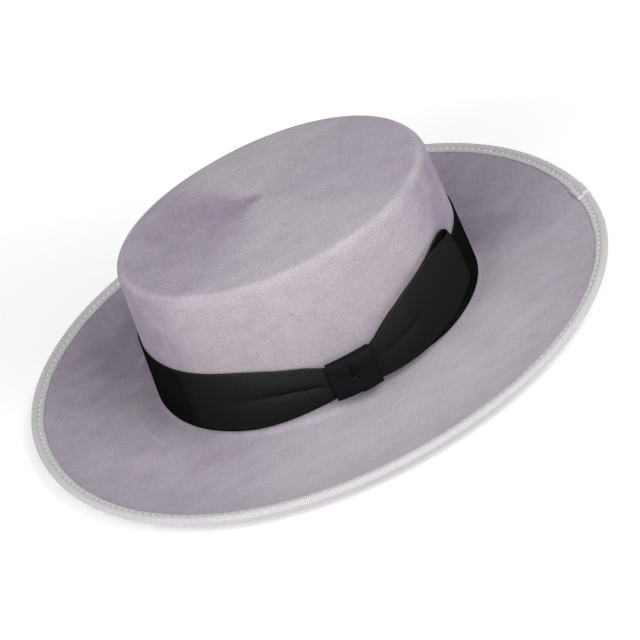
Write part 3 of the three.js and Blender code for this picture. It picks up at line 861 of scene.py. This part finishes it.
# %% Stitching thread material, and painted shade between the stitches
thread_look = {"Roughness": 0.5, "Sheen Weight": 0.3}
thread, tree, thread_shader = new_material("white polyester sewing thread", thread_look)
thread_place = add(tree, "ShaderNodeTexCoord").outputs["Object"]
ply_values = {"Vector": thread_place, "Scale": 1 / (0.4 * MM), "Detail": 2}
ply = add(tree, "ShaderNodeTexNoise", ply_values).outputs["Fac"]
tones = {0: ply, 6: linear("#efedf1"), 7: linear("#ffffff")}
ply_tone = add(tree, "ShaderNodeMix", tones, data_type="RGBA")
tree.links.new(ply_tone.outputs[2], thread_shader.inputs["Base Color"])

# A flat dark bead paints the shade in the dip between two stitches.
shade_bead_look = {"Base Color": linear("#a4a1a9"), "Roughness": 1.0}
dip_shade, _, _ = new_material("painted shade between stitches", shade_bead_look)

# %% Geometry Nodes tree that lays stitches along a line
MOST_TILT = 0.14  # radians
sew_inputs = {"Line": "Geometry", "Pitch": "Float", "Stitch Length": "Float", "Thread Width": "Float"}
sew_inputs |= {"Thread Height": "Float", "Seed": "Int", "Thread": "Material"}
sew, given = geometry_tree("sew along a line", sew_inputs, "Stitches")
path = add(sew, "GeometryNodeMeshToCurve", {"Mesh": given["Line"]})
spaced = add(sew, "GeometryNodeResampleCurve", {"Curve": path, "Length": given["Pitch"]}, mode="LENGTH")
points = add(sew, "GeometryNodeCurveToPoints", {"Curve": spaced}, mode="EVALUATED")
outwards = add(sew, "GeometryNodeInputNamedAttribute", {"Name": "outwards"}, data_type="FLOAT_VECTOR")
lying = add(sew, "FunctionNodeAlignRotationToVector", {"Vector": points.outputs["Tangent"]}, axis="X")
facing = add(
    sew,
    "FunctionNodeAlignRotationToVector",
    {"Rotation": lying, "Vector": outwards.outputs["Attribute"]},
    axis="Z",
    pivot_axis="X",
)
tilts = {0: (0, 0, -MOST_TILT), 1: (0, 0, MOST_TILT), "Seed": given["Seed"]}
tilt = add(sew, "FunctionNodeRandomValue", tilts, data_type="FLOAT_VECTOR")
tilted = {"Rotation": facing, "Rotate By": tilt}
turned = add(sew, "FunctionNodeRotateRotation", tilted, rotation_space="LOCAL")
bead = add(sew, "GeometryNodeMeshUVSphere", {"Segments": 10, "Rings": 7, "Radius": 0.5})
sizes = {"X": given["Stitch Length"], "Y": given["Thread Width"], "Z": given["Thread Height"]}
stitch_size = add(sew, "ShaderNodeCombineXYZ", sizes)
stitch = add(sew, "GeometryNodeTransform", {"Geometry": bead, "Scale": stitch_size})
sewn = add(sew, "GeometryNodeInstanceOnPoints", {"Points": points, "Instance": stitch, "Rotation": turned})
real = add(sew, "GeometryNodeRealizeInstances", {"Geometry": sewn})
finished = add(sew, "GeometryNodeSetMaterial", {"Geometry": real, "Material": given["Thread"]})
add(sew, "NodeGroupOutput", {"Stitches": finished})

# %% Sew the binding on both sides
STITCH_SIZE = (2.7, 1.05, 1.05)
SHADE_BEAD_SIZE = (2.2, 1.3, 0.7)
SHADE_BEAD_SUNK = 0.08


def groove_line(name, side, sunk, start):
    """A closed line in the binding's groove, sunk into its upper (1) or lower side (-1)."""
    rise = side * (float(binding_rise(np.array(groove_at))) + BINDING_WALL / 2 - sunk)
    half_length, height = brim_point(np.array(groove_at), rise)
    stations = start + np.arange(0, edge_girth, 1.0)[:-1]
    on_lap = (stations > lap_ends[0]) & (stations < lap_ends[1])
    ring = oval(half_length, edge_angle(np.mod(stations, edge_girth)), height + side * LAP_RISE * on_lap)
    mesh = bpy.data.meshes.new(name)
    count = len(ring)
    mesh.from_pydata(ring * MM, [(i, (i + 1) % count) for i in range(count)], [])
    outwards = mesh.attributes.new("outwards", "FLOAT_VECTOR", "POINT")
    lean = math.radians(EDGE_SLOPE)
    inward = -ring / np.linalg.norm(ring[:, :2], axis=1, keepdims=True)
    normal = np.stack([inward[:, 0] * math.sin(lean), inward[:, 1] * math.sin(lean)], axis=-1)
    normal = np.column_stack([normal, np.full(count, math.cos(lean))]) * side
    outwards.data.foreach_set("vector", normal.astype(np.float32).ravel())
    return show(name, mesh)


def sewing(pitch, size, seed, material):
    """The values that the sewing tree asks for, from millimetres."""
    length, width, height = (value * MM for value in size)
    sizes = {"Stitch Length": length, "Thread Width": width, "Thread Height": height}
    return {"Pitch": pitch * MM, **sizes, "Seed": seed, "Thread": material}


# The beads paint the shade in the dips between the stitches.
# name, side, depth in the ribbon, start along the edge, size, seed, material
STITCHES = [
    ("upper_stitches", 1, 0, 0, STITCH_SIZE, 4, thread),
    ("lower_stitches", -1, 0, 0, STITCH_SIZE, 9, thread),
    ("upper_shade_beads", 1, SHADE_BEAD_SUNK, STITCH_PITCH / 2, SHADE_BEAD_SIZE, 5, dip_shade),
    ("lower_shade_beads", -1, SHADE_BEAD_SUNK, STITCH_PITCH / 2, SHADE_BEAD_SIZE, 8, dip_shade),
]
for name, side, sunk, start, size, seed, material in STITCHES:
    line = groove_line(name + "_line", side, sunk, start)
    corners = np.array([vertex.co for vertex in line.data.vertices]) / MM
    line_length = lengths_along(np.vstack([corners, corners[:1]]))[-1]
    pitch = line_length / (stitch_count - 0.5)  # half a stitch of room, so that rounding drops none
    piece = show(name, run_tree(line, sew, sewing(pitch, size, seed, material)), material)
    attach(piece, "root")
    print(f"{name}: {len(piece.data.polygons)} faces")

# %% [markdown]
# ## Places on the crown wall
#
# The band and the bow are laid out on the crown's wall as on a sheet of paper: so far along the band
# from the middle of the bow, so far up from the band's lower edge, and so far off the felt. Layers
# of ribbon are counted from the felt outwards. Shapes that change along the ribbon are given as a
# few rows of numbers, and a smooth curve is drawn through them.

# %% Layout on the wall
CLEARANCE = 0.3  # between the felt and the band
RIBBON_WALL = 0.7
RIBBON_STEP = 1.3  # from one layer of ribbon to the next
LAYER_HALF = 0.5  # half the room that one layer takes
BAND_WIDTH = 40
BAND_FOOT = FOOT_HEIGHT + CLEARANCE
BOW_ANGLE = 80
KNOT_WIDTH = 27
KNOT_HEIGHT = 23.5
KNOT_FOOT = 4.7
KNOT_HALF = KNOT_WIDTH / 2
PLEAT_DEPTH = 2.5
GATHER_LENGTH = 88
GATHERED_FOOT = KNOT_FOOT + RIBBON_STEP
GATHERED_TOP = KNOT_FOOT + KNOT_HEIGHT - RIBBON_STEP

foot_arc = lengths_along(oval(CROWN_LENGTH / 2, fine_turn, 0))
foot_girth = foot_arc[-1]
bow_arc = np.interp(math.radians(BOW_ANGLE), fine_turn, foot_arc)


def on_wall(along, up, off):
    """Points by their distance along the band, height over its lower edge and distance off the felt."""
    angle = np.interp(np.mod(bow_arc + along, foot_girth), foot_arc, fine_turn)
    height = BAND_FOOT + up
    return oval(crown_half_length(height) + off, angle, height)


def layer_off(layer):
    """How far off the felt the middle of a ribbon layer lies."""
    return CLEARANCE + LAYER_HALF + layer * RIBBON_STEP


def smooth_rows(rows, steps=16):
    """Rows of numbers with smooth steps between them: a curve through the given rows."""
    given = np.array(rows, float)
    given = np.vstack([2 * given[0] - given[1], given, 2 * given[-1] - given[-2]])
    t = np.linspace(0, 1, steps, endpoint=False)[:, None]
    made = [
        0.5 * (2 * b + (c - a) * t + (2 * a - 5 * b + 4 * c - d) * t**2 + (3 * b - a - 3 * c + d) * t**3)
        for a, b, c, d in zip(given, given[1:], given[2:], given[3:])
    ]
    return np.vstack(made + [given[-2:-1]])


def smooth_step(value, low, high):
    """0 below the low value and 1 above the high one, with a soft step between them."""
    share = np.clip((value - low) / (high - low), 0, 1)
    return share * share * (3 - 2 * share)


def fold_height(share, crease):
    """How far the ribbon stands up across its width: two soft folds with a sharp crease between them."""
    below = np.clip(share / crease, 0, 1)
    above = np.clip((1 - share) / (1 - crease), 0, 1)
    towards_crease = np.where(share < crease, below, above)
    return 2.38 * towards_crease**0.8 * (1 - towards_crease) ** 0.5


def two_faced(middle, thickness):
    """Closed loops round a ribbon, from the points of its middle surface, along by across."""
    along = np.gradient(middle, axis=0)
    across = np.gradient(middle, axis=1)
    normal = np.cross(along, across)
    normal /= np.linalg.norm(normal, axis=2, keepdims=True)
    half = normal * thickness / 2
    return np.concatenate([middle + half, (middle - half)[:, ::-1]], axis=1)


print(f"girth at the band {foot_girth:.0f} mm")

# %% [markdown]
# ## The hatband
#
# The band is a 40 mm ribbon drawn round the foot of the crown. Towards the bow it is gathered to
# half its width, and the spare width stands up as two soft folds with one crease between them, which
# runs out of the knot and fades away along the front. Behind the knot the bow lies on it and presses
# it flat.

# %% Hatband
ACROSS_BAND = 33
# share of the way from the knot's side to the end of the gathers, spread, place of the crease,
# fold height
GATHERS = [
    (0.0, 0.0, 0.42, 0.3),
    (0.15, 0.31, 0.5, 0.8),
    (0.33, 0.57, 0.53, 0.8),
    (0.48, 0.78, 0.52, 0.6),
    (0.64, 0.93, 0.51, 0.35),
    (0.8, 0.99, 0.5, 0.15),
    (1.0, 1.0, 0.5, 0.0),
]
gathers = smooth_rows(GATHERS)
fine = np.arange(-GATHER_LENGTH, GATHER_LENGTH, 0.9)
plain = np.linspace(GATHER_LENGTH, foot_girth - GATHER_LENGTH, 260, endpoint=False)
band_along = np.concatenate([fine, plain])
way = np.minimum(np.abs(band_along), np.abs(foot_girth - band_along))
share = (way - KNOT_HALF) / (GATHER_LENGTH - KNOT_HALF)
spread, crease, swell = (np.interp(share, gathers[:, 0], column) for column in gathers.T[1:])
foot = GATHERED_FOOT * (1 - spread)
top = GATHERED_TOP + (BAND_WIDTH - GATHERED_TOP) * spread
shown = smooth_step(-band_along, 0.3 * KNOT_HALF, KNOT_HALF)
over_knot = 1 - smooth_step(way - KNOT_HALF, 0, KNOT_HALF)
across_share = np.linspace(0, 1, ACROSS_BAND)
fold = fold_height(across_share[None, :], crease[:, None]) * (swell * shown * PLEAT_DEPTH)[:, None]
up = foot[:, None] + (top - foot)[:, None] * across_share
band_middle = on_wall(band_along[:, None], up, layer_off(over_knot)[:, None] + fold)
band_middle = np.concatenate([band_middle[-1:], band_middle, band_middle[:1]])
band_loops = two_faced(band_middle, RIBBON_WALL)[1:-1]
band_lengths = np.append(band_along, foot_girth + band_along[0])
band_uv = flat_uv(band_lengths, across_share * BAND_WIDTH)
band_mesh = ribbon_mesh("gathered_band", band_loops, band_uv, closed=True)
band = show("gathered_band", band_mesh, black_grosgrain)
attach(band, "root")
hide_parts("hatband")
print(f"hatband of {len(band_mesh.polygons)} faces")

# %% [markdown]
# ## The loop of the bow
#
# The bow has a single loop. Its ribbon leaves the knot along the band, fans out and rises, folds back
# on itself at a slant, and returns over its own first leaf. The two leaves lie close, and only at the
# upper corner of the fold does the loop stand open. Its lower edge sags a little under its own
# weight. The way of the ribbon is a list of places along it, each with its layer, and the shape
# across it comes from a second list. Modelling it by hand would do for one bow, but two lists keep
# the ribbon one width all the way.

# %% Bow loop
LOOP_LENGTH = 99.25
LOOP_END_SLANT = 9  # how much further the end reaches at its foot than at its top
LOOP_END_BOW = 2.3  # how far the end bulges between them
LOOP_PLEAT_DEPTH = 2.0
ACROSS_LOOP = 31
# share of the way from the knot's side to the fold, spread, lift, place of the crease, fold height,
# how far the lower edge sags in millimetres
LOOP_SHAPE = [
    (0.0, 0.0, 0.1, 0.6, 0.15, 0.0),
    (0.11, 0.33, 0.12, 0.54, 0.5, 0.6),
    (0.22, 0.59, 0.15, 0.505, 0.8, 1.6),
    (0.33, 0.74, 0.18, 0.51, 1.1, 2.8),
    (0.44, 0.85, 0.21, 0.52, 0.35, 3.6),
    (0.67, 0.95, 0.27, 0.52, 0.0, 4.6),
    (0.85, 0.97, 0.32, 0.5, 0.0, 2.9),
    (1.0, 0.94, 0.34, 0.5, 0.0, 0.6),
]
# share of the way, layer, how much further off its upper edge is than its lower one, share of the
# fold height, how far its upper edge is drawn up in millimetres
LOOP_WAY = [
    (-1.0, 2, 0, 0, 0),
    (-0.5, 2, 0, 0, 0),
    (0, 2, 0, 0, 0),
    (0.07, 1.85, 0, 0, -0.2),
    (0.16, 1.3, 0, 0, -0.9),
    (0.25, 1.05, 0, 0, -1.5),
    (0.37, 1, 0, 0, -1.8),
    (0.49, 1, 0, 0, -1.8),
    (0.6, 1, 0, 0, -1.6),
    (0.71, 1, 0, 0, -1.2),
    (0.82, 1, 0, 0, 0),
    (0.93, 1, 0, 0, 0.9),
    (0.975, 1.15, 0.2, 0, 0.9),
    (0.995, 1.6, 0.7, 0, 0.5),
    (1, 2.2, 1.2, 0, 0),
    (0.993, 2.8, 1.7, 0, -0.5),
    (0.97, 3.1, 1.9, 0, -1.2),
    (0.92, 3.1, 1.7, 0.5, -1.5),
    (0.83, 2.8, 1.1, 1, -0.8),
    (0.71, 2.4, 0.5, 1, 0),
    (0.6, 2.3, 0.2, 1, 0),
    (0.49, 2.4, 0.2, 1, 0),
    (0.37, 2.6, 0.1, 1, 0),
    (0.27, 2.8, 0, 1, 0),
    (0.18, 3, 0, 1, 0),
    (0.09, 3.05, 0, 1, 0),
    (0, 3, 0, 1, 0),
    (-0.5, 3, 0, 1, 0),
    (-1.0, 3, 0, 1, 0),
]
loop_shape = smooth_rows(LOOP_SHAPE)
loop_way = smooth_rows(LOOP_WAY, steps=9)
share, layer, gape, folded, drawn_up = loop_way.T
at_share, *shape_columns = loop_shape.T
spread, lift, crease, swell, sag = (np.interp(share, at_share, column) for column in shape_columns)
lifted = lift * BAND_WIDTH
foot = GATHERED_FOOT + (lifted - GATHERED_FOOT) * spread - sag
top = GATHERED_TOP + (BAND_WIDTH + lifted - GATHERED_TOP) * spread + drawn_up
across_share = np.linspace(0, 1, ACROSS_LOOP)
place_along = KNOT_HALF + np.where(share < 0, share * KNOT_HALF, share * (LOOP_LENGTH - KNOT_HALF))
end_line = (0.5 - across_share) * LOOP_END_SLANT + 4 * across_share * (1 - across_share) * LOOP_END_BOW
slant = np.maximum(0, share)[:, None] * end_line
fold = fold_height(across_share[None, :], crease[:, None]) * (folded * swell * LOOP_PLEAT_DEPTH)[:, None]
opened = gape[:, None] * RIBBON_STEP * (across_share - 0.5)
up = foot[:, None] + (top - foot)[:, None] * across_share
loop_middle = on_wall(place_along[:, None] + slant, up, layer_off(layer)[:, None] + opened + fold)
loop_lengths = lengths_along(loop_middle[:, ACROSS_LOOP // 2])
loop_uv = flat_uv(loop_lengths, across_share * BAND_WIDTH)
loop_mesh = ribbon_mesh("folded_loop", two_faced(loop_middle, RIBBON_WALL), loop_uv, closed=False)
loop = show("folded_loop", loop_mesh, loose_grosgrain)
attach(loop, "root")
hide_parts("bow_loop")
print(f"loop of {loop_lengths[-1]:.0f} mm of ribbon")

# %% [markdown]
# ## The knot
#
# The gathers and the ends of the loop are held by a narrow strap, wound twice round them. The second
# turn lies half over the first, which shows as one step across the knot, and a few stitches draw its
# middle down into a dimple with puckers round it. The strap's own ribs run along the bow, because
# they cross the strap. It is a closed ring of sections, as a band is: a cube with rounded edges would
# have the outline, but no step and no dimple.

# %% Knot
KNOT_CORNER = (3.6, 2.1)  # how far up and how far in the strap bends over its corners
KNOT_LAP = 0.85
KNOT_LAP_LEAN = 2.2  # how much further back the second turn starts at the knot's foot than at its top
DIMPLE_DEPTH = 1.7
DIMPLE_AT = (0.3, 11.5)
PUCKER_HEIGHT = 0.4
# share of the knot's width, ribbon layers under its front, how far the second turn has risen
KNOT_SECTION = [
    (-0.5, 2.0, 0),
    (-0.4, 2.35, 0),
    (-0.3, 2.65, 0),
    (-0.18, 3.0, 0),
    (-0.06, 3.2, 0),
    (0.0, 3.25, 0),
    (0.01, 3.3, 1),
    (0.05, 3.4, 1),
    (0.2, 3.45, 1),
    (0.35, 3.45, 1),
    (0.5, 3.35, 1),
]
knot_rows = np.array(KNOT_SECTION, float)
knot_share = np.unique(np.concatenate([np.linspace(-0.5, 0.5, 41), knot_rows[:, 0]]))
knot_layers = np.interp(knot_share, knot_rows[:, 0], knot_rows[:, 1])
knot_lapped = np.interp(knot_share, knot_rows[:, 0], knot_rows[:, 2])
front_off = layer_off(knot_layers + 1) + LAYER_HALF + KNOT_LAP * knot_lapped
back_off = CLEARANCE + 0.1
knot_low, knot_high = KNOT_FOOT, KNOT_FOOT + KNOT_HEIGHT


def knot_path(front):
    """Places up and off along one turn of the strap, from low on its front round to low again."""
    round_up, round_in = KNOT_CORNER
    low, high = knot_low + round_up, knot_high - round_up
    bend = np.array(KNOT_CORNER)
    pieces = [
        np.stack([np.linspace(low, high, 17), np.full(17, front)], axis=-1),
        arc((0, 0), 1, 90, 0, 8)[1:] * bend + (high, front - round_in),
        arc((0, 0), 1, 0, -90, 8) * bend + (high, back_off + round_in),
        np.stack([np.linspace(high, low, 9)[1:-1], np.full(7, back_off)], axis=-1),
        arc((0, 0), 1, -90, -180, 8) * bend + (low, back_off + round_in),
        arc((0, 0), 1, 180, 90, 8)[:-1] * bend + (low, front - round_in),
    ]
    return np.vstack(pieces)


knot_rings = np.stack([knot_path(front) for front in front_off], axis=1)
knot_up, knot_off = knot_rings[..., 0], knot_rings[..., 1]
leaning = KNOT_LAP_LEAN * (1 - np.abs(2 * knot_share)) * (0.5 - (knot_up - KNOT_FOOT) / KNOT_HEIGHT)
knot_along = knot_share * KNOT_WIDTH + leaning
on_front = smooth_step(knot_off, 3, 4)
dimple_along = knot_along - DIMPLE_AT[0]
dimple_up = knot_up - KNOT_FOOT - DIMPLE_AT[1]
from_dimple = np.hypot(dimple_along / 4, dimple_up / 5)
drawn_in = DIMPLE_DEPTH * np.exp(-(from_dimple**2))
pucker_rays = np.cos(5 * np.arctan2(dimple_up, dimple_along) + 0.8)
puckers = PUCKER_HEIGHT * pucker_rays * from_dimple * np.exp(-from_dimple)
knot_off = knot_off + on_front * (puckers - drawn_in)
knot_closed = on_wall(knot_along, knot_up, knot_off)
knot_padded = np.concatenate([knot_closed[-1:], knot_closed, knot_closed[:1]])
knot_loops = two_faced(knot_padded, RIBBON_WALL)[1:-1]
knot_line = knot_rings[:, 0]
knot_lengths = lengths_along(np.vstack([knot_line, knot_line[:1]]))
knot_uv = flat_uv(knot_lengths, knot_share * KNOT_WIDTH)
knot_mesh = ribbon_mesh("wound_knot", knot_loops, knot_uv, closed=True)
knot = show("wound_knot", knot_mesh, fine_grosgrain)
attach(knot, "root")
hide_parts("bow_knot")
print(f"one turn of the knot's strap is {knot_lengths[-1]:.0f} mm")

# %% [markdown]
# Two short stitches of the dimple show, one after the other, in a black thread that catches the
# light. The tree that sews the binding lays them too, on a line that has room for two.

# %% Tack stitch in the knot's dimple
TACK_SIZE = (2.4, 0.7, 0.7)
tack_look = {"Base Color": linear("#34343a"), "Roughness": 0.55}
tack_thread, _, _ = new_material("black polyester sewing thread, glossy", tack_look)
tack_off = float(np.interp(0, knot_share, front_off)) - DIMPLE_DEPTH + RIBBON_WALL / 2 + 0.15
tack_line = on_wall(np.array([-0.2, 0.9]), KNOT_FOOT + DIMPLE_AT[1] + np.array([-1.5, 1.5]), tack_off)
tack_mesh = bpy.data.meshes.new("tack_line")
tack_mesh.from_pydata(tack_line * MM, [(0, 1)], [])
tack_normal = tack_mesh.attributes.new("outwards", "FLOAT_VECTOR", "POINT")
tack_normal.data.foreach_set("vector", [1, 0, 0, 1, 0, 0])
tack_values = sewing(3, TACK_SIZE, 2, tack_thread)
tack = show("knot_tack", run_tree(show("tack_draft", tack_mesh), sew, tack_values), tack_thread)
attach(tack, "root")
print(f"tack of {len(tack.data.polygons)} faces")

# %% [markdown]
# ## Sizes of the model and the scene
#
# The sizes of the box round the imported model and of the box round the scene are printed side by
# side, in millimetres. The knot's strap was measured for one turn, and it goes round twice.

# %% Compare sizes and finish
made_box = [list(corner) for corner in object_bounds()]
for name, box in [("model", model_box), ("scene", made_box)]:
    print(name, [round((high - low) / MM, 1) for low, high in zip(*box)])
